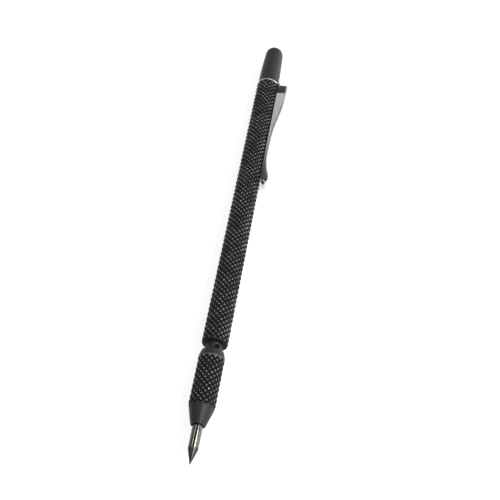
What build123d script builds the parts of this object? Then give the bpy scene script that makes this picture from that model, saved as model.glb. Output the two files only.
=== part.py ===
from build123d import *
from math import asin, atan2, cos, degrees, hypot, radians, sin
import os

os.makedirs("parts", exist_ok=True)

# Pocket scriber. The axis is X and the point is at +X. The origin is on the axis,
# midway along the knurled barrel. The tool lies on a table that is one barrel radius
# below the axis, and the corner of its clip rests on the same table.

# Driving dimensions, mm
barrel_d = 7.2            # over the crests of the knurl
barrel_length = 97.7
washer_thickness = 0.5    # the clip's washer, a bright ring between the cap and the barrel
cap_length = 17.5         # from the ring to the top of the dome
neck_gap = 2.2            # bare neck between the barrel and the chuck nut
nut_length = 21.0
tip_d = 2.75
tip_length = 30.8
tip_exposed = 10.5        # what stands out of the chuck nut
cone_length = 4.4
point_length = 1.1        # carbide at the end of the cone

running_gap = 0.05        # radial clearance of the turning and sliding fits
thread_gap = 0.04         # radial clearance that stands for each thread
lead = 0.3                # small chamfers that start a thread or a shank
hole_relief = 0.5         # how much deeper a blind hole is than what screws into it

barrel_r = barrel_d / 2
tip_r = tip_d / 2
barrel_front = barrel_length / 2
barrel_rear = -barrel_length / 2
ring_rear = barrel_rear - washer_thickness
nut_rear = barrel_front + neck_gap
nut_front = nut_rear + nut_length
point_x = nut_front + tip_exposed

axis_plane = Plane.XZ
along_x = Plane.YZ


# Barrel: drilled from the rear to store the spare tip, threaded at both ends
stud_r = 2.2
stud_length = 6.0
stud_hole_length = stud_length + hole_relief
store_r = tip_r + running_gap
store_length = 36.0
shank_r = 2.1
shank_length = 9.0
barrel_edge = 0.25

with BuildPart() as barrel:
    with BuildSketch(along_x.offset(barrel_rear)):
        Circle(barrel_r)
    extrude(amount=barrel_length)
    chamfer(barrel.edges().filter_by(GeomType.CIRCLE), barrel_edge)
    with BuildSketch(along_x.offset(barrel_rear)):
        Circle(stud_r + thread_gap)
    extrude(amount=stud_hole_length, mode=Mode.SUBTRACT)
    with BuildSketch(along_x.offset(barrel_rear)):
        Circle(store_r)
    extrude(amount=stud_hole_length + store_length, mode=Mode.SUBTRACT)
    with BuildSketch(along_x.offset(barrel_front)):
        Circle(shank_r)
    extrude(amount=-(shank_length + hole_relief), mode=Mode.SUBTRACT)

barrel.part.label = "barrel"


# Collet: shank in the barrel, bare neck with a cross hole, thread, four gripping jaws
neck_r = 2.35
neck_short = 0.1          # how far the neck stops short of the nut
collet_thread_r = 2.3
collet_thread_length = 7.0
thread_start = nut_rear + 0.5
thread_end = thread_start + collet_thread_length
jaw_r = 2.15
jaw_front = nut_front - 2.0
jaw_cone_rear = jaw_front - 4.4
jaw_nose_r = 1.7
slot_width = 0.45
slot_across = 2 * neck_r + 1
solid_root = 3.0          # length of the collet that isn't slotted, inside the nut
slot_length = jaw_front - nut_rear - solid_root
cross_hole_d = 1.25
cross_hole_x = barrel_front + 1.45
cross_hole_up = 40.0      # degrees above the table plane, on the clip's side
bore_r = tip_r + running_gap / 2
bore_end = point_x - tip_length - 0.1
shank_end = barrel_front - shank_length

with BuildPart() as collet:
    with BuildSketch(axis_plane):
        with BuildLine():
            Polyline(
                (shank_end, 0),
                (shank_end, shank_r - lead),
                (shank_end + lead, shank_r),
                (barrel_front, shank_r),
                (barrel_front, neck_r),
                (nut_rear - neck_short, neck_r),
                (thread_start - lead, collet_thread_r - 0.2),
                (thread_start, collet_thread_r),
                (thread_end, collet_thread_r),
                (thread_end + 0.2, jaw_r),
                (jaw_cone_rear, jaw_r),
                (jaw_front, jaw_nose_r),
                (jaw_front, 0),
                close=True,
            )
        make_face()
    revolve(axis=Axis.X)
    with BuildSketch(along_x.offset(bore_end)):
        Circle(bore_r)
    extrude(amount=jaw_front - bore_end, mode=Mode.SUBTRACT)
    with BuildSketch(along_x.offset(jaw_front - slot_length)):
        Rectangle(slot_width, slot_across)
        Rectangle(slot_across, slot_width)
    extrude(amount=slot_length + 1, mode=Mode.SUBTRACT)
    hole_aim = (0, cos(radians(cross_hole_up)), sin(radians(cross_hole_up)))
    with BuildSketch(Plane(origin=(cross_hole_x, 0, 0), x_dir=(1, 0, 0), z_dir=hole_aim)):
        Circle(cross_hole_d / 2)
    extrude(amount=neck_r + 1, both=True, mode=Mode.SUBTRACT)

collet.part.label = "collet"


# Chuck nut: rounded rear shoulder, knurled grip, smooth nose that tapers to the tip
nut_r = 3.55
nut_rear_r = 3.0
nut_shoulder = 2.6
shoulder_mid = (nut_rear + 0.8, 3.31)   # point on the rear shoulder's arc
nut_cone_length = 5.45    # smooth nose
nut_nose_r = 1.95
nose_edge = 0.15          # small chamfer round the nose's mouth
nut_bore_r = collet_thread_r + thread_gap
nose_bore_r = 1.52
inner_cone_gap = 0.05
cone_lead = 0.6           # how far the inner cone reaches past both ends of the jaw cone
jaw_slope = (jaw_r - jaw_nose_r) / (jaw_front - jaw_cone_rear)
inner_cone_front_r = jaw_nose_r + inner_cone_gap - jaw_slope * cone_lead
inner_cone_rear_r = jaw_r + inner_cone_gap

with BuildPart() as chuck_nut:
    with BuildSketch(axis_plane):
        with BuildLine():
            ThreePointArc(
                (nut_rear, nut_rear_r),
                shoulder_mid,
                (nut_rear + nut_shoulder, nut_r),
            )
            Polyline(
                (nut_rear + nut_shoulder, nut_r),
                (nut_front - nut_cone_length, nut_r),
                (nut_front - nose_edge, nut_nose_r + 0.04),
                (nut_front, nut_nose_r - 0.08),
                (nut_front, nose_bore_r),
                (jaw_front + cone_lead, nose_bore_r),
                (jaw_front + cone_lead, inner_cone_front_r),
                (jaw_cone_rear, inner_cone_rear_r),
                (jaw_cone_rear - lead, nut_bore_r),
                (nut_rear, nut_bore_r),
                (nut_rear, nut_rear_r),
            )
        make_face()
    revolve(axis=Axis.X)

chuck_nut.part.label = "chuck_nut"


# Tips: a hardened shank with a domed rear end, and the carbide point brazed to its cone
slope = tip_r / cone_length
point_base_r = slope * point_length
dome_depth = 1.0
dome_sphere_r = (dome_depth ** 2 + tip_r ** 2) / (2 * dome_depth)
dome_half_angle = asin(tip_r / dome_sphere_r)


def shank_outline(front):
    # Half outline of a shank whose finished point is at x = front
    rear = front - tip_length
    rise = dome_half_angle / 2
    with BuildLine() as outline:
        Polyline(
            (rear, 0),
            (front - point_length, 0),
            (front - point_length, point_base_r),
            (front - cone_length, tip_r),
            (rear + dome_depth, tip_r),
        )
        ThreePointArc(
            (rear + dome_depth, tip_r),
            (rear + dome_sphere_r * (1 - cos(rise)), dome_sphere_r * sin(rise)),
            (rear, 0),
        )
    return outline.line


def point_outline(front):
    # Half outline of the carbide point, from the shank's end to x = front
    with BuildLine() as outline:
        Polyline(
            (front - point_length, 0),
            (front - point_length, point_base_r),
            (front, 0),
            close=True,
        )
    return outline.line


with BuildPart() as tip_shank:
    with BuildSketch(axis_plane):
        add(shank_outline(point_x))
        make_face()
    revolve(axis=Axis.X)

tip_shank.part.label = "tip_shank"

with BuildPart() as tip_point:
    with BuildSketch(axis_plane):
        add(point_outline(point_x))
        make_face()
    revolve(axis=Axis.X)

tip_point.part.label = "tip_point"

spare_x = barrel_rear + stud_hole_length + 0.3 + tip_length

with BuildPart() as spare_shank:
    with BuildSketch(axis_plane):
        add(shank_outline(spare_x))
        make_face()
    revolve(axis=Axis.X)

spare_shank.part.label = "spare_shank"

with BuildPart() as spare_point:
    with BuildSketch(axis_plane):
        add(point_outline(spare_x))
        make_face()
    revolve(axis=Axis.X)

spare_point.part.label = "spare_point"


# Cap: slight barrel taper, domed end, and a stud that screws into the barrel
cap_base_r = 3.37
cap_mid_r = 3.24
dome_r = 2.96
dome_end = ring_rear - cap_length
dome_start = dome_end + dome_r
cap_edge = 0.1
stud_end = barrel_rear + stud_length

with BuildPart() as cap:
    with BuildSketch(axis_plane):
        with BuildLine():
            Polyline(
                (dome_end, 0),
                (stud_end, 0),
                (stud_end, stud_r - lead),
                (stud_end - lead, stud_r),
                (ring_rear, stud_r),
                (ring_rear, cap_base_r - cap_edge),
                (ring_rear - cap_edge, cap_base_r),
            )
            ThreePointArc(
                (ring_rear - cap_edge, cap_base_r),
                ((ring_rear + dome_start) / 2, cap_mid_r),
                (dome_start, dome_r),
            )
            ThreePointArc(
                (dome_start, dome_r),
                (dome_start - dome_r * sin(radians(45)), dome_r * cos(radians(45))),
                (dome_end, 0),
            )
        make_face()
    revolve(axis=Axis.X)

cap.part.label = "cap"


# Clip: a stamped spring-steel strip. Its washer is trapped under the cap, its shoulder
# steps over the end of the barrel, and its arm is a channel that runs to a rounded foot.
clip_width = 3.2
clip_t = 0.5
clip_reach = 7.05         # axis to the outer face of the shoulder
step_r = barrel_r + 0.25  # inner face of the step that passes over the barrel's end
shoulder_x = barrel_rear + 0.7
ring_bite = 0.5           # how far the tongue runs into the washer
tongue_bend = 0.3         # chamfer where the tongue turns forward
split_r = 5.9             # the arm bends from here outwards
split_gap = 0.06

# How far the clip hangs below the horizontal when the tool lies on a table
corner_side = clip_width / 2
droop = degrees(asin(barrel_r / hypot(clip_reach, corner_side)) - atan2(corner_side, clip_reach))
clip_side_way = (0, sin(radians(droop)), cos(radians(droop)))
clip_out_way = (0, cos(radians(droop)), -sin(radians(droop)))
clip_side = Plane(origin=(0, 0, 0), x_dir=(1, 0, 0), z_dir=clip_side_way)

with BuildPart() as clip_ring:
    with BuildSketch(along_x.offset(ring_rear)):
        Circle(barrel_r)
    extrude(amount=washer_thickness)
    with BuildSketch(clip_side):
        with BuildLine():
            Polyline(
                (ring_rear, barrel_r - ring_bite),
                (ring_rear, step_r + clip_t - tongue_bend),
                (ring_rear + tongue_bend, step_r + clip_t),
                (shoulder_x, step_r + clip_t),
                (shoulder_x, split_r),
                (shoulder_x + clip_t, split_r),
                (shoulder_x + clip_t, step_r),
                (barrel_rear, step_r),
                (barrel_rear, barrel_r - ring_bite),
                close=True,
            )
        make_face()
    extrude(amount=clip_width / 2, both=True)
    with BuildSketch(along_x.offset(ring_rear)):
        Circle(stud_r + 0.1)
    extrude(amount=washer_thickness, mode=Mode.SUBTRACT)

clip_ring.part.label = "clip_ring"

arm_inner_r = 3.8         # inner edges of the channel's two sides
flange_start = shoulder_x + clip_t + 0.1
pinch_end = shoulder_x + 3.5   # next to the shoulder both sides are pinched in, under the strip
pinch_depth = 0.4
pinch_roof = clip_reach - clip_t - 0.12
bend_r = 0.45             # outside of the shoulder's bend
heel_x = -17.0            # where the arm is nearest the barrel
heel_reach = 4.78
toe_x = -6.7
toe_reach = 6.35
toe_rise = (-12.4, 5.42)
toe_crown_x = toe_x - 2.1
toe_tip_r = 5.7
toe_under_x = toe_x - 1.9
arm_rear_r = split_r + split_gap
# The outer face from the shoulder to the heel, as (x, distance from the axis)
arm_back = [(-38.4, 6.7), (-32.8, 5.85), (-28.0, 5.14), (-22.5, 4.84), (heel_x, heel_reach)]
arm_ceiling = [(x, reach - clip_t) for x, reach in arm_back]
hollow_start = (pinch_end, clip_reach - clip_t - 0.08)
hollow_floor = arm_inner_r - 1

with BuildPart() as clip_arm:
    with BuildSketch(clip_side):
        with BuildLine():
            Polyline(
                (shoulder_x, arm_rear_r),
                (shoulder_x, clip_reach - bend_r),
            )
            RadiusArc(
                (shoulder_x, clip_reach - bend_r),
                (shoulder_x + bend_r, clip_reach),
                bend_r,
            )
            Spline(
                (shoulder_x + bend_r, clip_reach),
                *arm_back,
                tangents=((1, 0), (1, 0)),
            )
            Spline(
                (heel_x, heel_reach),
                toe_rise,
                (toe_crown_x, toe_reach),
                (toe_x, toe_tip_r),
                (toe_under_x, arm_inner_r),
                tangents=((1, 0), (-1, 0)),
            )
            Polyline(
                (toe_under_x, arm_inner_r),
                (flange_start, arm_inner_r),
                (flange_start, pinch_roof),
                (shoulder_x + clip_t, pinch_roof),
                (shoulder_x + clip_t, arm_rear_r),
                (shoulder_x, arm_rear_r),
            )
        make_face()
    extrude(amount=clip_width / 2, both=True)
    with BuildSketch(clip_side):
        with BuildLine():
            Spline(
                hollow_start,
                *arm_ceiling,
                tangents=((1, -0.03), (1, 0)),
            )
            Polyline(
                (heel_x, heel_reach - clip_t),
                (toe_rise[0], toe_rise[1] - clip_t - 0.1),
                (toe_crown_x - 1.0, toe_reach - clip_t - 0.2),
                (toe_under_x + 0.1, toe_tip_r - 0.3),
                (toe_under_x - 0.3, hollow_floor),
                (hollow_start[0], hollow_floor),
                hollow_start,
            )
        make_face()
    extrude(amount=clip_width / 2 - clip_t, both=True, mode=Mode.SUBTRACT)
    for side in (1, -1):
        pinch_plane = Plane(origin=(0, 0, 0), x_dir=(1, 0, 0), z_dir=clip_out_way)
        with BuildSketch(pinch_plane.offset(arm_inner_r - 0.1)):
            with BuildLine():
                Polyline(
                    (flange_start - 0.1, side * clip_width / 2),
                    (pinch_end, side * (clip_width / 2 - pinch_depth)),
                    (pinch_end, side * (clip_width / 2 + 0.1)),
                    (flange_start - 0.1, side * (clip_width / 2 + 0.1)),
                    close=True,
                )
            make_face()
        extrude(amount=pinch_roof - arm_inner_r + 0.1, mode=Mode.SUBTRACT)

clip_arm.part.label = "clip_arm"


pieces = [
    barrel, collet, chuck_nut, tip_shank, tip_point,
    spare_shank, spare_point, cap, clip_ring, clip_arm,
]
for piece in pieces:
    export_step(piece.part, f"parts/{piece.part.label}.step")
print("clip hangs", round(droop, 3), "degrees below the horizontal")
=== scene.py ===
from math import asin, atan2, cos, pi, radians, sin, sqrt

import bmesh
import bpy
from mathutils import Matrix, Vector, noise


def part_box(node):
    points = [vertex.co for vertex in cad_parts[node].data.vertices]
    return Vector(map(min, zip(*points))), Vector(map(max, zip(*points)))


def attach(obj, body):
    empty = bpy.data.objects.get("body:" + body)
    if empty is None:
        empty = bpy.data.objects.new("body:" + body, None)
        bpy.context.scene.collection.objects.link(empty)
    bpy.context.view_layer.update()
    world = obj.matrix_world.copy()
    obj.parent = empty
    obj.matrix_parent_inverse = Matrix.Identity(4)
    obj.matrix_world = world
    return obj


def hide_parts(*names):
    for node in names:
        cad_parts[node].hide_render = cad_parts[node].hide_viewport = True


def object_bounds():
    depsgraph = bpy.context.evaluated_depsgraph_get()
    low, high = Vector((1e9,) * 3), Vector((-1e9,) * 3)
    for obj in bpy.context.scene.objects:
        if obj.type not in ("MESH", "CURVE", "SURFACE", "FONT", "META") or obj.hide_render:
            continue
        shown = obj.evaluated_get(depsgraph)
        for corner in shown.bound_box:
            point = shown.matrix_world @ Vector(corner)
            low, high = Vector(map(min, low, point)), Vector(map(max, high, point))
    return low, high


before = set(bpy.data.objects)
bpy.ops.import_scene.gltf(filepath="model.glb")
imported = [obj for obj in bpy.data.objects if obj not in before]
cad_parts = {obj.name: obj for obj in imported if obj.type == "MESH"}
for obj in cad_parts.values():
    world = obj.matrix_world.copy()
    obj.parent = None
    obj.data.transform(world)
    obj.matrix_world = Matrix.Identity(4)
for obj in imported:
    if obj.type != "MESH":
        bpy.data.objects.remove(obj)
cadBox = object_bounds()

# The pocket scriber lies along X with its point at +X. Everything is in metres, and the
# dictionaries below give their sizes in millimetres.
mm = 0.001
scene = bpy.context.scene
scene.view_settings.view_transform = "Standard"
print("frame loaded, box", [round(v / mm, 2) for corner in cadBox for v in corner])


def edgesOfBox(node):
    low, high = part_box(node)
    return low / mm, high / mm


barrelLow, barrelHigh = edgesOfBox("barrel")
nutLow, nutHigh = edgesOfBox("chuck_nut")
capLow, capHigh = edgesOfBox("cap")
ringLow = edgesOfBox("clip_ring")[0]
pointEnd = edgesOfBox("tip_point")[1].x
barrelRadius = barrelHigh.z


# The camera looks down on the tool from its point's side
camera = {
    "place": (0.15475, 0.10577, 0.17113),
    "aim": (0.01840, 0.00516, -0.00004),
    "roll": 35.13,           # degrees, because the tool leans across the picture
    "lens": 61.2,
}


def makeCamera(c):
    data = bpy.data.cameras.new("studioCamera")
    data.lens = c["lens"]
    data.clip_start = 0.01
    data.clip_end = 10
    cam = bpy.data.objects.new("studioCamera", data)
    scene.collection.objects.link(cam)
    look = Vector(c["aim"]) - Vector(c["place"])
    turn = look.to_track_quat("-Z", "Y").to_matrix().to_4x4()
    roll = Matrix.Rotation(-radians(c["roll"]), 4, "Z")
    cam.matrix_world = Matrix.Translation(c["place"]) @ turn @ roll
    scene.camera = cam


makeCamera(camera)

# Directions round the tool's axis are angles from the camera's side, negative towards the clip
toCamera = Vector((0, camera["place"][1], camera["place"][2])).normalized()
cameraSide = atan2(toCamera.z, toCamera.y)

lights = {
    "key": {"angle": -25, "along": 0.06, "far": 0.62, "wide": 0.20, "long": 0.50, "power": 4.4},
    "fill": {"angle": 38, "along": 0.0, "far": 0.62, "wide": 0.12, "long": 0.50, "power": 0.8},
    "wall": 0.62, "ceiling": 0.035,            # brightness
    "wallTop": 0.63, "ceilingStart": 0.78,     # sines of the heights where they end and start
}


def makeStripLight(name, s):
    angle = cameraSide + radians(s["angle"])
    way = Vector((0, cos(angle), sin(angle)))
    data = bpy.data.lights.new(name, "AREA")
    data.shape = "RECTANGLE"
    data.size = s["long"]
    data.size_y = s["wide"]
    data.energy = s["power"]
    lamp = bpy.data.objects.new(name, data)
    scene.collection.objects.link(lamp)
    across = way.cross(Vector((1, 0, 0)))
    place = way * s["far"] + Vector((s["along"], 0, 0))
    lamp.matrix_world = Matrix.Translation(place) @ Matrix(
        ((1, across.x, way.x), (0, across.y, way.y), (0, across.z, way.z))
    ).to_4x4()


makeStripLight("keyLight", lights["key"])
makeStripLight("fillLight", lights["fill"])


def makeStudio(s):
    # White walls up to about 40 degrees, and a dim ceiling from about 50 degrees
    world = bpy.data.worlds.new("studio")
    scene.world = world
    world.use_nodes = True
    tree = world.node_tree
    way = tree.nodes.new("ShaderNodeTexCoord")
    split = tree.nodes.new("ShaderNodeSeparateXYZ")
    level = tree.nodes.new("ShaderNodeMapRange")
    level.interpolation_type = "SMOOTHSTEP"
    limits = {"From Min": "wallTop", "From Max": "ceilingStart", "To Min": "wall", "To Max": "ceiling"}
    for socket, value in limits.items():
        level.inputs[socket].default_value = s[value]
    tree.links.new(way.outputs["Generated"], split.inputs["Vector"])
    tree.links.new(split.outputs["Z"], level.inputs["Value"])
    tree.links.new(level.outputs["Result"], tree.nodes["Background"].inputs["Strength"])
    tree.nodes["Background"].inputs["Color"].default_value = (1, 1, 1, 1)


makeStudio(lights)
print("camera and lights set")


def newGroup(name, numbersIn, vectorsIn=("Vector",)):
    # A shader group that the finishes share; it gives one mask between 0 and 1
    tree = bpy.data.node_groups.new(name, "ShaderNodeTree")
    for socket in vectorsIn:
        tree.interface.new_socket(socket, in_out="INPUT", socket_type="NodeSocketVector")
    for socket, value in numbersIn.items():
        made = tree.interface.new_socket(socket, in_out="INPUT", socket_type="NodeSocketFloat")
        made.default_value = value
    tree.interface.new_socket("Mask", in_out="OUTPUT", socket_type="NodeSocketFloat")
    return tree, tree.nodes.new("NodeGroupInput"), tree.nodes.new("NodeGroupOutput")


def addMath(tree, operation, first, second=None, third=None, clamp=False):
    node = tree.nodes.new("ShaderNodeMath")
    node.operation = operation
    node.use_clamp = clamp
    for socket, value in zip(node.inputs, (first, second, third)):
        if isinstance(value, (int, float)):
            socket.default_value = value
        elif value is not None:
            tree.links.new(value, socket)
    return node.outputs[0]


def addNoise(tree, vector, scale, detail, roughness=0.5):
    node = tree.nodes.new("ShaderNodeTexNoise")
    node.inputs["Detail"].default_value = detail
    node.inputs["Roughness"].default_value = roughness
    tree.links.new(vector, node.inputs["Vector"])
    if isinstance(scale, (int, float)):
        node.inputs["Scale"].default_value = scale
    else:
        tree.links.new(scale, node.inputs["Scale"])
    return node.outputs["Fac"]


def addVectorMath(tree, operation, first, second=None):
    node = tree.nodes.new("ShaderNodeVectorMath")
    node.operation = operation
    tree.links.new(first, node.inputs[0])
    if isinstance(second, tuple):
        node.inputs[1].default_value = second
    elif second is not None:
        tree.links.new(second, node.inputs[1])
    return node


def addRamp(tree, value, low, high, outLow=0.0, outHigh=1.0):
    node = tree.nodes.new("ShaderNodeMapRange")
    node.interpolation_type = "SMOOTHSTEP"
    tree.links.new(value, node.inputs["Value"])
    limits = {"From Min": low, "From Max": high, "To Min": outLow, "To Max": outHigh}
    for socket, number in limits.items():
        if isinstance(number, (int, float)):
            node.inputs[socket].default_value = number
        else:
            tree.links.new(number, node.inputs[socket])
    return node.outputs["Result"]


def makeCrestWear():
    # 1 on the rubbed crests of the knurl and 0 below them; noise wears some more than others
    tree, given, out = newGroup("crestWear", {"Crest": 3.6, "Depth": 0.08, "Patchiness": 0.5})
    flat = addVectorMath(tree, "MULTIPLY", given.outputs["Vector"], (0, 1 / mm, 1 / mm))
    height = addVectorMath(tree, "LENGTH", flat.outputs["Vector"]).outputs["Value"]
    low = addMath(tree, "SUBTRACT", given.outputs["Crest"], given.outputs["Depth"])
    high = addMath(tree, "MULTIPLY_ADD", given.outputs["Depth"], -0.35, given.outputs["Crest"])
    mask = addRamp(tree, height, low, high)
    patches = addNoise(tree, given.outputs["Vector"], 420, 3)
    uneven = addRamp(tree, patches, 0.35, 0.65)
    lost = addMath(tree, "MULTIPLY", uneven, given.outputs["Patchiness"])
    keep = addMath(tree, "SUBTRACT", 1.0, lost)
    tree.links.new(addMath(tree, "MULTIPLY", mask, keep), out.inputs["Mask"])
    return tree


def makeFineGrain():
    # Even microscopic texture of an anodised, plated or ground skin
    tree, given, out = newGroup("fineGrain", {"Scale": 9000.0, "Contrast": 1.0})
    fine = addNoise(tree, given.outputs["Vector"], given.outputs["Scale"], 3, 0.6)
    broadScale = addMath(tree, "MULTIPLY", given.outputs["Scale"], 0.04)
    broad = addNoise(tree, given.outputs["Vector"], broadScale, 2)
    fineShare = addMath(tree, "MULTIPLY", fine, 0.7)
    both = addMath(tree, "ADD", fineShare, addMath(tree, "MULTIPLY", broad, 0.3))
    centred = addMath(tree, "SUBTRACT", both, 0.5)
    centred = addMath(tree, "MULTIPLY", centred, given.outputs["Contrast"])
    tree.links.new(addMath(tree, "ADD", centred, 0.5, clamp=True), out.inputs["Mask"])
    return tree


def makeToolMarks():
    # Fine rings left by the lathe or the grinding wheel, close together along X
    tree, given, out = newGroup("toolMarks", {"Rings": 9000.0, "Breakup": 0.35})
    squeezed = addVectorMath(tree, "MULTIPLY", given.outputs["Vector"], (1, 0.012, 0.012))
    rings = addNoise(tree, squeezed.outputs["Vector"], given.outputs["Rings"], 2, 0.7)
    cloud = addNoise(tree, given.outputs["Vector"], 700, 3)
    broken = addMath(tree, "MULTIPLY", addMath(tree, "SUBTRACT", cloud, 0.5), given.outputs["Breakup"])
    tree.links.new(addMath(tree, "ADD", rings, broken, clamp=True), out.inputs["Mask"])
    return tree


def makeScuffs():
    # Sparse short scratches, long along the way that Stretch is small in
    tree, given, out = newGroup("scuffs", {"Scale": 900.0, "Amount": 0.5}, ("Vector", "Stretch"))
    stretched = addVectorMath(tree, "MULTIPLY", given.outputs["Vector"], given.outputs["Stretch"])
    lines = addNoise(tree, stretched.outputs["Vector"], given.outputs["Scale"], 4, 0.75)
    thin = addRamp(tree, lines, 0.60, 0.66)
    where = addRamp(tree, addNoise(tree, given.outputs["Vector"], 260, 2), 0.42, 0.62)
    both = addMath(tree, "MULTIPLY", thin, where)
    tree.links.new(addMath(tree, "MULTIPLY", both, given.outputs["Amount"]), out.inputs["Mask"])
    return tree


groups = {
    "crestWear": makeCrestWear(),
    "fineGrain": makeFineGrain(),
    "toolMarks": makeToolMarks(),
    "scuffs": makeScuffs(),
}


def useGroup(tree, name, vector, **values):
    node = tree.nodes.new("ShaderNodeGroup")
    node.node_tree = groups[name]
    tree.links.new(vector, node.inputs["Vector"])
    for socket, value in values.items():
        node.inputs[socket].default_value = value
    return node.outputs["Mask"]


def mixColour(tree, mask, first, second):
    node = tree.nodes.new("ShaderNodeMix")
    node.data_type = "RGBA"
    tree.links.new(mask, node.inputs["Factor"])
    for socket, value in ((node.inputs[6], first), (node.inputs[7], second)):
        if isinstance(value, tuple):
            socket.default_value = (*value, 1)
        else:
            tree.links.new(value, socket)
    return node.outputs[2]


def addBump(tree, height, distance):
    node = tree.nodes.new("ShaderNodeBump")
    node.inputs["Distance"].default_value = distance
    tree.links.new(height, node.inputs["Height"])
    return node.outputs["Normal"]


def newFinish(name, metallic, specular=0.5):
    material = bpy.data.materials.new(name)
    material.use_nodes = True
    tree = material.node_tree
    shader = tree.nodes["Principled BSDF"]
    shader.inputs["Metallic"].default_value = metallic
    shader.inputs["Specular IOR Level"].default_value = specular
    place = tree.nodes.new("ShaderNodeTexCoord").outputs["Object"]
    return material, tree, shader, place


# The finishes: colours, roughness and wear
blackFinish = {
    "groove": (0.0015, 0.0015, 0.002),
    "flank": (0.004, 0.004, 0.0045),
    "crest": (0.16, 0.162, 0.166),
    "roughGroove": 0.70,
    "roughCrest": 0.24,
    "wornDepth": 0.085,      # how far down from the crests the black is rubbed
    "bare": 0.50,            # how metallic the rubbed crests look
}


def makeKnurlBlack(name, crest, f):
    # Black anodising over the knurl: matt in the grooves, rubbed to a grey shine on the crests
    material, tree, shader, place = newFinish(name, 0.0, 0.20)
    wear = useGroup(tree, "crestWear", place, Crest=crest, Depth=f["wornDepth"], Patchiness=0.75)
    grain = useGroup(tree, "fineGrain", place, Scale=7000.0, Contrast=1.4)
    deep = mixColour(tree, grain, f["groove"], f["flank"])
    tree.links.new(mixColour(tree, wear, deep, f["crest"]), shader.inputs["Base Color"])
    tree.links.new(addMath(tree, "MULTIPLY", wear, f["bare"]), shader.inputs["Metallic"])
    rough = addRamp(tree, wear, 0.0, 1.0, f["roughGroove"], f["roughCrest"])
    uneven = addMath(tree, "MULTIPLY", addMath(tree, "SUBTRACT", grain, 0.5), 0.18)
    tree.links.new(addMath(tree, "ADD", rough, uneven), shader.inputs["Roughness"])
    tree.links.new(addBump(tree, grain, 0.000012), shader.inputs["Normal"])
    return material


satinFinish = {
    "base": (0.0085, 0.0095, 0.0115),
    "light": (0.014, 0.0155, 0.018),
    "scuffed": (0.045, 0.047, 0.050),
    "rough": 0.46,
}

noseFinish = {
    "base": (0.0065, 0.0065, 0.0067),
    "light": (0.0105, 0.0105, 0.0108),
    "scuffed": (0.05, 0.05, 0.051),
    "rough": 0.52,
}


def makeSatinBlack(name, f):
    # Smooth black parts: faint turning rings under the anodising, and a few pale scuffs
    material, tree, shader, place = newFinish(name, 0.0, 0.38)
    rings = useGroup(tree, "toolMarks", place, Rings=5200.0, Breakup=0.4)
    grain = useGroup(tree, "fineGrain", place, Scale=8000.0, Contrast=1.2)
    scuffs = useGroup(tree, "scuffs", place, Stretch=(0.25, 1, 1), Scale=1500.0, Amount=0.5)
    skin = mixColour(tree, grain, f["base"], f["light"])
    tree.links.new(mixColour(tree, scuffs, skin, f["scuffed"]), shader.inputs["Base Color"])
    ringed = addMath(tree, "MULTIPLY_ADD", rings, 0.10, f["rough"] - 0.05)
    rough = addMath(tree, "MULTIPLY_ADD", grain, 0.10, addMath(tree, "SUBTRACT", ringed, 0.05))
    tree.links.new(rough, shader.inputs["Roughness"])
    height = addMath(tree, "ADD", rings, addMath(tree, "MULTIPLY", grain, 0.5))
    tree.links.new(addBump(tree, height, 0.000006), shader.inputs["Normal"])
    return material


steelFinish = {
    "dark": (0.155, 0.155, 0.135),
    "light": (0.175, 0.175, 0.153),
    "rough": 0.17,
}


def makeGroundSteel(name, f):
    # Hardened steel shank, ground all round: soft olive grey with a fine grind
    material, tree, shader, place = newFinish(name, 1.0)
    rings = useGroup(tree, "toolMarks", place, Rings=16000.0, Breakup=0.5)
    grain = useGroup(tree, "fineGrain", place, Scale=5000.0, Contrast=1.2)
    scuffs = useGroup(tree, "scuffs", place, Stretch=(0.12, 1, 1), Scale=1800.0, Amount=0.6)
    tree.links.new(mixColour(tree, rings, f["dark"], f["light"]), shader.inputs["Base Color"])
    rough = addMath(tree, "MULTIPLY_ADD", grain, 0.06, f["rough"] - 0.03)
    tree.links.new(addMath(tree, "MULTIPLY_ADD", scuffs, 0.1, rough), shader.inputs["Roughness"])
    tree.links.new(addBump(tree, rings, 0.0000002), shader.inputs["Normal"])
    return material


coneFinish = {
    "dark": (0.040, 0.040, 0.038),
    "light": (0.085, 0.085, 0.082),
    "rough": 0.34,
}

carbideFinish = {
    "dark": (0.035, 0.035, 0.037),
    "light": (0.075, 0.075, 0.08),
    "rough": 0.38,
}


def makeCarbide(name, f):
    # Ground cone and carbide point: darker, with coarser grinding rings
    material, tree, shader, place = newFinish(name, 1.0)
    rings = useGroup(tree, "toolMarks", place, Rings=7000.0, Breakup=0.6)
    grain = useGroup(tree, "fineGrain", place, Scale=12000.0, Contrast=1.5)
    tree.links.new(mixColour(tree, rings, f["dark"], f["light"]), shader.inputs["Base Color"])
    rough = addMath(tree, "MULTIPLY_ADD", grain, 0.16, f["rough"] - 0.08)
    tree.links.new(rough, shader.inputs["Roughness"])
    tree.links.new(addBump(tree, rings, 0.000003), shader.inputs["Normal"])
    return material


clipFinish = {
    "dull": (0.62, 0.62, 0.64),
    "bright": (0.78, 0.78, 0.80),
    "scratched": (0.44, 0.44, 0.46),
    "rough": 0.19,
}


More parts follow.
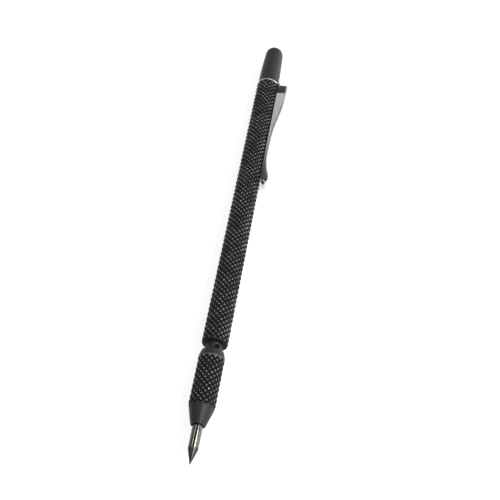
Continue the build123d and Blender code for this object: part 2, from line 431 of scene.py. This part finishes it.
def makeClipNickel(name, f):
    # Nickel-plated strip, drawn lengthways: long fine lines and a few handling scratches
    material, tree, shader, place = newFinish(name, 1.0)
    drawn = useGroup(tree, "scuffs", place, Stretch=(0.03, 1, 1), Scale=4200.0, Amount=1.0)
    scratches = useGroup(tree, "scuffs", place, Stretch=(0.3, 1, 0.5), Scale=1700.0, Amount=0.8)
    grain = useGroup(tree, "fineGrain", place, Scale=6000.0, Contrast=1.3)
    plate = mixColour(tree, grain, f["dull"], f["bright"])
    tree.links.new(mixColour(tree, scratches, plate, f["scratched"]), shader.inputs["Base Color"])
    rough = addMath(tree, "MULTIPLY_ADD", drawn, 0.14, f["rough"] - 0.04)
    tree.links.new(addMath(tree, "MULTIPLY_ADD", grain, 0.08, rough), shader.inputs["Roughness"])
    height = addMath(tree, "ADD", drawn, addMath(tree, "MULTIPLY", grain, 0.3))
    tree.links.new(addBump(tree, height, 0.000003), shader.inputs["Normal"])
    return material


knurl = {
    "starts": 14,            # grooves of each hand round the girth
    "pitch": 1.551,          # along the axis
    "floor": 0.035,          # flat bottom of a groove, half its width
    "flank": 0.275,
    "rise": 0.26,
    "crestEdge": 0.055,      # rounding of a crest
    "crestRise": 0.035,
    "unevenness": 0.022,
    "sharp": 25,             # degrees; flatter edges are shaded smooth
}

barrelBlack = makeKnurlBlack("barrelBlack", barrelRadius, blackFinish)
nutBlack = makeKnurlBlack("nutBlack", nutHigh.z, blackFinish)
capBlack = makeSatinBlack("capBlack", satinFinish)
noseBlack = makeSatinBlack("noseBlack", noseFinish)
shankSteel = makeGroundSteel("shankSteel", steelFinish)
groundCone = makeCarbide("groundCone", coneFinish)
pointCarbide = makeCarbide("pointCarbide", carbideFinish)
clipNickel = makeClipNickel("clipNickel", clipFinish)
print("finishes made")


def radiusAt(place):
    return sqrt(place.y ** 2 + place.z ** 2)


def radiusOf(v):
    return radiusAt(v.co)


def toRadius(v, x, radius):
    # Moves a vertex straight in or out from the axis, to the place x
    now = radiusOf(v)
    share = radius * mm / now if now > 1e-9 else 0
    v.co = Vector((x * mm, v.co.y * share, v.co.z * share))


def spinOutline(bm, points, steps=96):
    # points are (x, radius); the line is spun once round the X axis
    chain = [bm.verts.new((x * mm, 0, r * mm)) for x, r in points]
    edges = [bm.edges.new(pair) for pair in zip(chain, chain[1:])]
    bmesh.ops.spin(
        bm, geom=chain + edges, cent=(0, 0, 0), axis=(1, 0, 0), angle=2 * pi, steps=steps, use_merge=True
    )
    bmesh.ops.remove_doubles(bm, verts=bm.verts, dist=0.0005 * mm)
    bmesh.ops.recalc_face_normals(bm, faces=bm.faces)


def arcPoints(centre, radius, start, end, steps):
    angles = [radians(start + (end - start) * i / steps) for i in range(steps + 1)]
    return [(centre[0] + radius * cos(a), centre[1] + radius * sin(a)) for a in angles]


def meshFrom(bm, name):
    mesh = bpy.data.meshes.new(name)
    bm.to_mesh(mesh)
    bm.free()
    obj = bpy.data.objects.new(name, mesh)
    scene.collection.objects.link(obj)
    return obj


def cutWith(obj, tool, operation):
    # Applies a boolean and throws the tool away
    change = obj.modifiers.new("cut", "BOOLEAN")
    change.operation = operation
    change.solver = "MANIFOLD"
    change.object = tool
    bpy.context.view_layer.update()
    result = bpy.data.meshes.new_from_object(obj.evaluated_get(bpy.context.evaluated_depsgraph_get()))
    obj.modifiers.clear()
    old = obj.data
    obj.data = result
    result.name = obj.name
    bpy.data.meshes.remove(old)
    bpy.data.objects.remove(tool)


def finishPiece(obj, material, body, nodes, sharp=32, second=None, isSecond=None):
    # Faces that isSecond picks by their centre get the second material
    obj.data.materials.clear()
    obj.data.materials.append(material)
    if second:
        obj.data.materials.append(second)
        for face in obj.data.polygons:
            face.material_index = 1 if isSecond(face.center) else 0
    obj.data.shade_smooth()
    obj.data.set_sharp_from_angle(angle=radians(sharp))
    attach(obj, body)
    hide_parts(*nodes)
    print(obj.name, "made,", len(obj.data.polygons), "faces")


def rolledKnurl(radius, start, end, k, turn=0.0):
    # A flat sheet of raised diamonds, cut to the girth and rolled round the axis
    girth = 2 * pi * radius * mm
    across = girth / k["starts"]
    along = k["pitch"] * mm
    length = (end - start) * mm
    cells = 2 * int((length / along + k["starts"]) / 2 + 2)
    bm = bmesh.new()
    bmesh.ops.create_grid(bm, x_segments=cells, y_segments=cells, size=cells / 2)
    bmesh.ops.rotate(bm, verts=bm.verts, cent=(0, 0, 0), matrix=Matrix.Rotation(radians(45), 3, "Z"))
    halfDiagonal = sqrt(0.5)
    bmesh.ops.scale(bm, verts=bm.verts, vec=(along * halfDiagonal, across * halfDiagonal, 1))
    sides = [(Vector(way), reach) for way, reach in (
        ((1, 0, 0), (length, along)), ((-1, 0, 0), (length, along)),
        ((0, 1, 0), (girth, across)), ((0, -1, 0), (girth, across)),
    )]
    for way, (full, spare) in sides:
        # One diamond more than is needed is left on every side
        away = [f for f in bm.faces if f.calc_center_median().dot(way) > full / 2 + spare]
        bmesh.ops.delete(bm, geom=away, context="FACES")
    diamonds = list(bm.faces)
    steps = ((k["floor"], 0), (k["flank"], k["rise"]), (k["crestEdge"], k["crestRise"]))
    for wide, high in steps:
        bmesh.ops.inset_individual(
            bm, faces=diamonds, thickness=wide * mm, depth=high * mm, use_even_offset=True
        )
    for way, (full, spare) in sides:
        bmesh.ops.bisect_plane(
            bm, geom=bm.verts[:] + bm.edges[:] + bm.faces[:], dist=1e-8,
            plane_co=way * full / 2, plane_no=way, clear_outer=True,
        )
    depth = k["rise"] + k["crestRise"]
    middle = (start + end) / 2
    for v in bm.verts:
        angle = v.co.y / (radius * mm)
        share = v.co.z / (depth * mm)
        where = Vector((v.co.x / mm * 0.55, 2.2 * cos(angle), 2.2 * sin(angle)))
        low = k["unevenness"] * (0.5 + 0.5 * noise.noise(where)) * share
        reach = (radius - depth - low) * mm + v.co.z
        v.co = Vector((v.co.x + middle * mm, reach * cos(angle + turn), reach * sin(angle + turn)))
    bmesh.ops.remove_doubles(bm, verts=bm.verts, dist=0.002 * mm)
    return bm


def endLoop(bm, front):
    # Open edges at one end of a tube
    edges = [e for e in bm.edges if e.is_boundary]
    middle = sum(v.co.x for v in bm.verts) / len(bm.verts)
    return [e for e in edges if (e.verts[0].co.x > middle) == front]


def carryLoop(bm, edges, steps):
    # Carries an open end on through (x, radius) steps, never outwards
    for x, radius in steps:
        made = bmesh.ops.extrude_edge_only(bm, edges=edges)["geom"]
        edges = [g for g in made if isinstance(g, bmesh.types.BMEdge) and g.is_boundary]
        for v in {v for e in edges for v in e.verts}:
            toRadius(v, x, min(radius, radiusOf(v) / mm))
    return edges


barrel = {
    "edge": 0.25,
    "studHole": 2.24, "studHoleDeep": 6.5,
    "store": 1.425, "storeDeep": 42.5,       # the room for the spare tip
    "shank": 2.1, "shankDeep": 9.5,          # the hole that the collet is pressed into
}


def makeBarrel(b, k):
    rear, front = barrelLow.x, barrelHigh.x
    bm = rolledKnurl(barrelRadius, rear + b["edge"], front - b["edge"], k)
    outside = barrelRadius - b["edge"]
    carryLoop(bm, endLoop(bm, False), [
        (rear, outside),
        (rear, b["studHole"] + 0.2),
        (rear + 0.2, b["studHole"]),
        (rear + b["studHoleDeep"], b["studHole"]),
        (rear + b["studHoleDeep"] + 0.4, b["store"]),
        (rear + b["storeDeep"], b["store"]),
        (rear + b["storeDeep"] + 0.8, 0),
    ])
    carryLoop(bm, endLoop(bm, True), [
        (front, outside),
        (front, b["shank"]),
        (front - b["shankDeep"], b["shank"]),
        (front - b["shankDeep"] - 1.2, 0),
    ])
    bmesh.ops.remove_doubles(bm, verts=bm.verts, dist=0.0005 * mm)
    bmesh.ops.recalc_face_normals(bm, faces=bm.faces)
    obj = meshFrom(bm, "knurledBarrel")
    finishPiece(obj, barrelBlack, "barrel", ["barrel"], k["sharp"])


makeBarrel(barrel, knurl)


# Only the collet's neck and cross hole show, between the barrel and the nut
collet = {
    "shank": 2.1, "neck": 2.35, "thread": 2.3, "threadLength": 7.0, "bore": 1.4,
    "jaw": 2.15, "jawNose": 1.7, "jawCone": 4.4, "slot": 0.45, "slotFrom": 3,
    "hole": 1.25, "holeAt": 1.45, "holeUp": 40,      # the last is in degrees from level
    "flare": 0.12, "mouth": 0.3, "lead": 0.3,
}


def makeCollet(c):
    low, high = edgesOfBox("collet")
    front = barrelHigh.x
    threadFrom = nutLow.x + 0.5
    threadTo = threadFrom + c["threadLength"]
    bm = bmesh.new()
    spinOutline(bm, [
        (low.x, 0), (low.x, c["shank"] - c["lead"]), (low.x + c["lead"], c["shank"]), (front, c["shank"]),
        (front, c["neck"]), (nutLow.x - 0.1, c["neck"]), (threadFrom - c["lead"], c["thread"] - 0.2),
        (threadFrom, c["thread"]), (threadTo, c["thread"]), (threadTo + 0.2, c["jaw"]),
        (high.x - c["jawCone"], c["jaw"]), (high.x, c["jawNose"]), (high.x, c["bore"]),
        (nutLow.x + 0.1, c["bore"]), (nutLow.x + 0.1, 0),
    ], 128)
    obj = meshFrom(bm, "colletNeck")
    # The cross hole is drilled and then countersunk a little from both sides
    half = c["hole"] / 2
    bm = bmesh.new()
    mouth = c["neck"] + c["mouth"]
    mouthRadius = half + c["flare"] + c["mouth"]
    spinOutline(bm, [
        (-mouth, 0), (-mouth, mouthRadius), (-c["neck"] + c["flare"], half),
        (c["neck"] - c["flare"], half), (mouth, mouthRadius), (mouth, 0),
    ], 48)
    aim = radians(c["holeUp"])
    way = Vector((0, cos(aim), sin(aim)))
    turn = Vector((1, 0, 0)).rotation_difference(way).to_matrix()
    bmesh.ops.rotate(bm, verts=bm.verts, cent=(0, 0, 0), matrix=turn)
    bmesh.ops.translate(bm, verts=bm.verts, vec=((front + c["holeAt"]) * mm, 0, 0))
    cutWith(obj, meshFrom(bm, "drill"), "DIFFERENCE")
    # Four slots make the gripping jaws
    for turned in (0, 90):
        bm = bmesh.new()
        bmesh.ops.create_cube(bm, size=1)
        slotStart = nutLow.x + c["slotFrom"]
        slotEnd = high.x + 2
        size = ((slotEnd - slotStart) * mm, c["slot"] * mm, 6 * mm)
        bmesh.ops.scale(bm, verts=bm.verts, vec=size)
        bmesh.ops.translate(bm, verts=bm.verts, vec=((slotEnd + slotStart) / 2 * mm, 0, 0))
        turn = Matrix.Rotation(radians(turned), 3, "X")
        bmesh.ops.rotate(bm, verts=bm.verts, cent=(0, 0, 0), matrix=turn)
        cutWith(obj, meshFrom(bm, "slotCutter"), "DIFFERENCE")
    finishPiece(obj, noseBlack, "barrel", ["collet"])


makeCollet(collet)


nut = {
    "rear": 3.0, "shoulder": 2.6, "cone": 5.45, "nose": 1.95, "grip": 3.55,
    "threadBore": 2.34, "noseBore": 1.52, "noseBoreDeep": 1.4,
    "jawBoreRear": 2.2, "jawBoreFront": 1.69, "jawConeAt": 6.4,
    "firstGroove": 1.9, "runOut": 0.5,       # where the knurl starts, from the rear
    "knurlPast": 3.2, "coreFrom": 2.6,       # how far the grooves reach past the cone's start
    "coreRadius": 3.0, "smoothFrom": 1.7,    # the nose is smooth outside this radius
    "knurlTurn": 0.11,
}


def makeChuckNut(n, k):
    rear, front = nutLow.x, nutHigh.x
    # The rear shoulder is one arc that runs smoothly into the grip
    across = n["shoulder"]
    drop = n["grip"] - n["rear"]
    arcRadius = (across ** 2 + drop ** 2) / (2 * drop)
    sweep = 2 * atan2(drop, across)
    turns = [sweep * (1 - i / 10) for i in range(11)]
    shoulder = [(rear + across - arcRadius * sin(a), n["grip"] - arcRadius * (1 - cos(a))) for a in turns]
    coneStart = front - n["cone"]
    bm = bmesh.new()
    spinOutline(bm, [
        (rear, n["threadBore"]), *shoulder,
        (coneStart - 0.25, n["grip"]), (coneStart + 0.02, n["grip"] - 0.025),
        (coneStart + 0.25, n["grip"] - 0.1), (front - 0.2, n["nose"] + 0.055),
        (front - 0.06, n["nose"] - 0.01), (front, n["nose"] - 0.08),
        (front, n["noseBore"] + 0.08), (front - 0.08, n["noseBore"]),
        (front - n["noseBoreDeep"], n["noseBore"]), (front - n["noseBoreDeep"], n["jawBoreFront"]),
        (front - n["jawConeAt"], n["jawBoreRear"]), (front - n["jawConeAt"] - 0.3, n["threadBore"]),
        (rear, n["threadBore"]),
    ], 128)
    obj = meshFrom(bm, "chuckNut")
    # The knurl is cut into it, from the shoulder until the cone runs out of it
    knurlEnd = coneStart + n["knurlPast"]
    coreStart = coneStart + n["coreFrom"]
    bm = rolledKnurl(n["grip"] - 0.015, rear - 1, knurlEnd, k, turn=n["knurlTurn"])
    for v in bm.verts:
        x = v.co.x / mm
        lift = min(max((rear + n["firstGroove"] + n["runOut"] - x) / n["runOut"], 0), 1)
        if lift > 0:
            toRadius(v, x, radiusOf(v) / mm * (1 - lift) + (n["grip"] + 0.3) * lift)
    carryLoop(bm, endLoop(bm, False), [(rear - 1, 0)])
    carryLoop(bm, endLoop(bm, True), [(knurlEnd, 0)])
    bmesh.ops.remove_doubles(bm, verts=bm.verts, dist=0.0005 * mm)
    bmesh.ops.recalc_face_normals(bm, faces=bm.faces)
    # A plain core keeps the nose in front of the knurled stretch
    knurledBar = meshFrom(bm, "knurledBar")
    bm = bmesh.new()
    core = n["coreRadius"]
    spinOutline(bm, [(coreStart, 0), (coreStart, core), (front + 1, core), (front + 1, 0)], 64)
    cutWith(knurledBar, meshFrom(bm, "noseCore"), "UNION")
    cutWith(obj, knurledBar, "INTERSECT")
    # The plain shoulder and nose have a smoother finish than the knurled stretch
    plainTo = (rear + n["firstGroove"] + n["runOut"] * 0.5) * mm
    noseFrom = (coneStart + 0.3) * mm

    def isPlain(place):
        return place.x < plainTo or place.x > noseFrom and radiusAt(place) > n["smoothFrom"] * mm

    finishPiece(
        obj, nutBlack, "chuck_nut", ["chuck_nut"], k["sharp"],
        second=noseBlack, isSecond=isPlain,
    )


makeChuckNut(nut, knurl)


# The tip in the chuck and the spare inside the barrel are the same
tip = {
    "radius": 1.375, "length": 30.8, "cone": 4.4, "point": 1.1, "pointEnd": 0.021,
    "dome": 1.0, "soften": 0.5,
    "seamWide": 0.04, "seamDeep": 0.012,     # the fine brazed groove behind the carbide
}


def makeTip(t, end, shankName, pointName, body, shankNode, pointNode):
    slope = t["radius"] / t["cone"]
    rear = end - t["length"]
    sphere = (t["dome"] ** 2 + t["radius"] ** 2) / (2 * t["dome"])
    rise = asin(t["radius"] / sphere)
    turns = [rise * i / 12 for i in range(13)]
    dome = [(rear + sphere * (1 - cos(a)), sphere * sin(a)) for a in turns]
    coneStart = end - t["cone"]
    # A gentle radius where the cone is ground into the shank
    s = t["soften"]
    blend = []
    for i in range(7):
        u = i / 6
        x = coneStart - s + 2 * s * u
        blend.append((x, t["radius"] - slope * s * u * u))
    seam = end - t["point"]
    bm = bmesh.new()
    seamRadius = slope * t["point"] - t["seamDeep"]
    shankEnd = (seam - t["seamWide"], slope * (t["point"] + t["seamWide"]))
    spinOutline(bm, [*dome, *blend, shankEnd, (seam, seamRadius), (seam, 0)])
    finishPiece(
        meshFrom(bm, shankName), shankSteel, body, [shankNode],
        second=groundCone, isSecond=lambda place: place.x > (coneStart - 0.1) * mm,
    )
    bm = bmesh.new()
    spinOutline(bm, [
        (seam, 0), (seam, seamRadius), (seam + 0.03, slope * (t["point"] - 0.03)),
        (end - 0.05, t["pointEnd"]), (end, 0),
    ])
    finishPiece(meshFrom(bm, pointName), pointCarbide, body, [pointNode])


makeTip(tip, pointEnd, "tipShank", "tipPoint", "tip", "tip_shank", "tip_point")
spareEnd = edgesOfBox("spare_point")[1].x
makeTip(tip, spareEnd, "spareShank", "sparePoint", "spare", "spare_shank", "spare_point")


cap = {
    "base": 3.37, "middle": 3.24, "dome": 2.96, "edge": 0.1,
    "stud": 2.2, "root": 1.92, "lead": 0.25, "pitch": 0.75, "threadSteps": 32,
}


def arcThrough(first, middle, last, steps):
    # Points of the circle through three points, from the first to the last
    (x1, y1), (x2, y2), (x3, y3) = first, middle, last
    d = 2 * (x1 * (y2 - y3) + x2 * (y3 - y1) + x3 * (y1 - y2))
    s1, s2, s3 = x1 ** 2 + y1 ** 2, x2 ** 2 + y2 ** 2, x3 ** 2 + y3 ** 2
    centre = (
        (s1 * (y2 - y3) + s2 * (y3 - y1) + s3 * (y1 - y2)) / d,
        (s1 * (x3 - x2) + s2 * (x1 - x3) + s3 * (x2 - x1)) / d,
    )
    radius = sqrt((x1 - centre[0]) ** 2 + (y1 - centre[1]) ** 2)
    start = atan2(y1 - centre[1], x1 - centre[0])
    end = atan2(y3 - centre[1], x3 - centre[0])
    turns = [start + (end - start) * i / steps for i in range(steps + 1)]
    return [(centre[0] + radius * cos(a), centre[1] + radius * sin(a)) for a in turns]


def makeCap(c):
    base = ringLow.x
    domeStart = capLow.x + c["dome"]
    middle = ((base + domeStart) / 2, c["middle"])
    side = arcThrough((base - c["edge"], c["base"]), middle, (domeStart, c["dome"]), 14)
    dome = arcPoints((domeStart, 0), c["dome"], 90, 180, 20)
    bm = bmesh.new()
    spinOutline(bm, [
        (capHigh.x, 0), (capHigh.x, c["root"] - c["lead"]), (capHigh.x - c["lead"], c["root"]),
        (base, c["root"]), (base, c["base"] - c["edge"]), *side, *dome[1:],
    ], 128)
    obj = meshFrom(bm, "capBody")
    # The thread is one ridge that winds along the stud
    bm = bmesh.new()
    pitch = c["pitch"]
    first = base + 0.5
    turns = int((capHigh.x - first - pitch) / pitch)
    inside = c["root"] - 0.1
    ridge = [(-0.45, inside), (-0.08, c["stud"]), (0.08, c["stud"]), (0.45, inside)]
    loop = [bm.verts.new(((first + x * pitch) * mm, 0, r * mm)) for x, r in ridge]
    edges = [bm.edges.new((loop[i], loop[(i + 1) % 4])) for i in range(4)]
    bmesh.ops.spin(
        bm, geom=loop + edges, cent=(0, 0, 0), axis=(1, 0, 0), dvec=(pitch * mm / c["threadSteps"], 0, 0),
        angle=2 * pi * turns, steps=turns * c["threadSteps"],
    )
    bmesh.ops.holes_fill(bm, edges=[e for e in bm.edges if e.is_boundary], sides=8)
    bmesh.ops.recalc_face_normals(bm, faces=bm.faces)
    cutWith(obj, meshFrom(bm, "threadRidge"), "UNION")
    finishPiece(obj, capBlack, "cap", ["cap"])


makeCap(cap)


# The clip is drawn from its side as (x, distance from the axis) and then turned to its droop
clip = {
    "width": 3.2, "thick": 0.5, "reach": 7.05, "step": 3.85, "shoulder": 0.7, "split": 5.9, "gap": 0.06,
    "bend": 0.45, "innerEdge": 3.8, "flange": 0.6, "tongueBend": 0.3,
    "pinch": 3.5, "pinchDeep": 0.4, "pinchRoof": 0.12,
    "back": [(-38.4, 6.7), (-32.8, 5.85), (-28.0, 5.14), (-22.5, 4.84), (-17.0, 4.78)],
    "toe": [(-12.4, 5.42), (-8.8, 6.35), (-6.7, 5.7), (-8.6, 3.8)],
    "round": 0.40,           # roll of the long outer edges
    "brink": 0.16,           # and of the sides where the pinch ends
    "small": 0.06,           # rounding of the washer's rims
}


def clipDroop(c):
    # The tool lies on the barrel and on the clip's outer corner
    half = c["width"] / 2
    return asin(barrelRadius / sqrt(c["reach"] ** 2 + half ** 2)) - atan2(half, c["reach"])


droop = clipDroop(clip)
clipOut = Vector((0, cos(droop), -sin(droop)))
clipSide = Vector((0, sin(droop), cos(droop)))


def smoothLine(points, startWay, endWay, steps):
    # A flowing line through the points; each stretch is a cubic that its neighbours continue
    ways = [startWay]
    for i in range(1, len(points) - 1):
        before, after = points[i - 1], points[i + 1]
        span = sqrt((after[0] - before[0]) ** 2 + (after[1] - before[1]) ** 2)
        ways.append(((after[0] - before[0]) / span, (after[1] - before[1]) / span))
    ways.append(endWay)
    line = [points[0]]
    for i in range(len(points) - 1):
        (x0, y0), (x1, y1) = points[i], points[i + 1]
        span = sqrt((x1 - x0) ** 2 + (y1 - y0) ** 2)
        for j in range(1, steps + 1):
            t = j / steps
            a, b = 2 * t ** 3 - 3 * t ** 2 + 1, t ** 3 - 2 * t ** 2 + t
            c, d = -2 * t ** 3 + 3 * t ** 2, t ** 3 - t ** 2
            line.append((
                a * x0 + b * span * ways[i][0] + c * x1 + d * span * ways[i + 1][0],
                a * y0 + b * span * ways[i][1] + c * y1 + d * span * ways[i + 1][1],
            ))
    return line


def clipPoint(x, out, side):
    return (clipOut * out + clipSide * side) * mm + Vector((x * mm, 0, 0))


def stampOutline(points, width):
    # Fills a side outline and extrudes it to the strip's width, centred on the clip's plane
    bm = bmesh.new()
    corners = [bm.verts.new(clipPoint(x, r, -width / 2)) for x, r in points]
    face = bm.faces.new(corners)
    made = bmesh.ops.extrude_face_region(bm, geom=[face])["geom"]
    moved = [g for g in made if isinstance(g, bmesh.types.BMVert)]
    bmesh.ops.translate(bm, verts=moved, vec=clipSide * width * mm)
    bmesh.ops.recalc_face_normals(bm, faces=bm.faces)
    return bm


def clipPlace(v):
    # (x, distance out along the clip, distance to its side), in mm
    return v.co.x / mm, v.co.dot(clipOut) / mm, v.co.dot(clipSide) / mm


def makeClipArm(c):
    start = barrelLow.x + c["shoulder"]
    flangeStart = start + c["flange"]
    pinchEnd = start + c["pinch"]
    underStrip = c["reach"] - c["thick"] - c["pinchRoof"]
    half = c["width"] / 2
    corner = arcPoints((start + c["bend"], c["reach"] - c["bend"]), c["bend"], 180, 90, 5)
    back = smoothLine([corner[-1], *c["back"]], (1, 0), (1, 0), 6)
    toe = smoothLine([c["back"][-1], *c["toe"]], (1, 0), (-1, 0), 7)
    bm = stampOutline([
        (start, c["split"] + c["gap"]), *corner, *back[1:], *toe[1:],
        (flangeStart, c["innerEdge"]), (flangeStart, underStrip), (start + c["thick"], underStrip),
        (start + c["thick"], c["split"] + c["gap"]),
    ], c["width"])
    # The long outer edges are rolled over where the strip was folded into a channel
    rolled = []
    for e in bm.edges:
        (xa, ra, sa), (xb, rb, sb) = clipPlace(e.verts[0]), clipPlace(e.verts[1])
        onSide = abs(abs(sa) - half) < 0.01 and abs(sa - sb) < 0.01
        outside = min(ra, rb) > c["innerEdge"] + 0.02 and not (
            max(xa, xb) < flangeStart + 0.01 and min(ra, rb) < underStrip + 0.02
        )
        straightDown = abs(xa - xb) < 0.01 and max(xa, xb) < flangeStart + 0.01
        if onSide and outside and not straightDown:
            rolled.append(e)
    bmesh.ops.bevel(
        bm, geom=rolled, offset=c["round"] * mm, affect="EDGES", segments=5, profile=0.5, material=-1,
        clamp_overlap=False,
    )
    obj = meshFrom(bm, "clipArm")
    # The hollow of the channel
    inside = [(x, r - c["thick"]) for x, r in c["back"]]
    ceiling = smoothLine([(pinchEnd, c["reach"] - c["thick"] - 0.08), *inside], (1, 0), (1, 0), 6)
    rise, crown, tipEnd, under = c["toe"]
    bm = stampOutline([
        *ceiling, (rise[0], rise[1] - c["thick"] - 0.1), (crown[0] - 1, crown[1] - c["thick"] - 0.2),
        (under[0] + 0.1, tipEnd[1] - 0.3), (under[0] - 0.3, c["innerEdge"] - 1),
        (pinchEnd, c["innerEdge"] - 1),
    ], c["width"] - 2 * c["thick"])
    cutWith(obj, meshFrom(bm, "hollow"), "DIFFERENCE")
    # Next to the shoulder both sides are pinched in under the strip
    beyond = half + 0.1
    plan = [
        (flangeStart, half), (pinchEnd, half - c["pinchDeep"]), (pinchEnd, beyond), (flangeStart, beyond),
    ]
    for side in (1, -1):
        bm = bmesh.new()
        corners = [bm.verts.new(clipPoint(x, c["innerEdge"] - 0.1, side * s)) for x, s in plan]
        made = bmesh.ops.extrude_face_region(bm, geom=[bm.faces.new(corners)])["geom"]
        moved = [g for g in made if isinstance(g, bmesh.types.BMVert)]
        bmesh.ops.translate(bm, verts=moved, vec=clipOut * (underStrip - c["innerEdge"] + 0.1) * mm)
        bmesh.ops.recalc_face_normals(bm, faces=bm.faces)
        cutWith(obj, meshFrom(bm, "pinch"), "DIFFERENCE")
    bm = bmesh.new()
    bm.from_mesh(obj.data)
    brink = []
    for e in bm.edges:
        places = [clipPlace(v) for v in e.verts]
        if all(abs(x - pinchEnd) < 0.02 and abs(abs(s) - half) < 0.02 for x, r, s in places):
            brink.append(e)
    bmesh.ops.bevel(
        bm, geom=brink, offset=c["brink"] * mm, affect="EDGES", segments=3, profile=0.5, material=-1,
    )
    bm.to_mesh(obj.data)
    bm.free()
    finishPiece(obj, clipNickel, "clip_arm", ["clip_arm"], 40)


def makeClipRing(c):
    rear, front = ringLow.x, barrelLow.x
    start = front + c["shoulder"]
    outer = c["step"] + c["thick"]
    small = c["small"]
    bm = bmesh.new()
    spinOutline(bm, [
        (rear, 2.3), (rear, barrelRadius - small), (rear + small, barrelRadius),
        (front - small, barrelRadius), (front, barrelRadius - small), (front, 2.3), (rear, 2.3),
    ], 128)
    obj = meshFrom(bm, "clipRing")
    bm = stampOutline([
        (rear, barrelRadius - 0.5), (rear, outer - c["tongueBend"]), (rear + c["tongueBend"], outer),
        (start, outer), (start, c["split"]), (start + c["thick"], c["split"]),
        (start + c["thick"], c["step"]), (front, c["step"]), (front, barrelRadius - 0.5),
    ], c["width"])
    bmesh.ops.bevel(
        bm, geom=bm.edges[:], offset=0.05 * mm, affect="EDGES", segments=2, profile=0.5, material=-1,
        clamp_overlap=True,
    )
    cutWith(obj, meshFrom(bm, "tongue"), "UNION")
    finishPiece(obj, clipNickel, "clip", ["clip_ring"], 40)


makeClipArm(clip)
makeClipRing(clip)


floor = {"size": 6.0, "colour": (0.93, 0.93, 0.93), "mottle": (0.90, 0.90, 0.90), "glow": 0.62}


def makeFloor(f):
    bm = bmesh.new()
    bmesh.ops.create_grid(bm, x_segments=2, y_segments=2, size=f["size"] / 2)
    bmesh.ops.translate(bm, verts=bm.verts, vec=(0, 0, cadBox[0].z - 0.00002))
    obj = meshFrom(bm, "studioFloor")
    material, tree, shader, place = newFinish("floorWhite", 0.0, 0.2)
    cloud = addNoise(tree, place, 3, 3)
    colour = mixColour(tree, cloud, f["mottle"], f["colour"])
    tree.links.new(colour, shader.inputs["Base Color"])
    tree.links.new(colour, shader.inputs["Emission Color"])
    shader.inputs["Emission Strength"].default_value = f["glow"]
    tree.links.new(addRamp(tree, cloud, 0.3, 0.7, 0.75, 0.85), shader.inputs["Roughness"])
    obj.data.materials.append(material)


makeFloor(floor)
print("floor made")
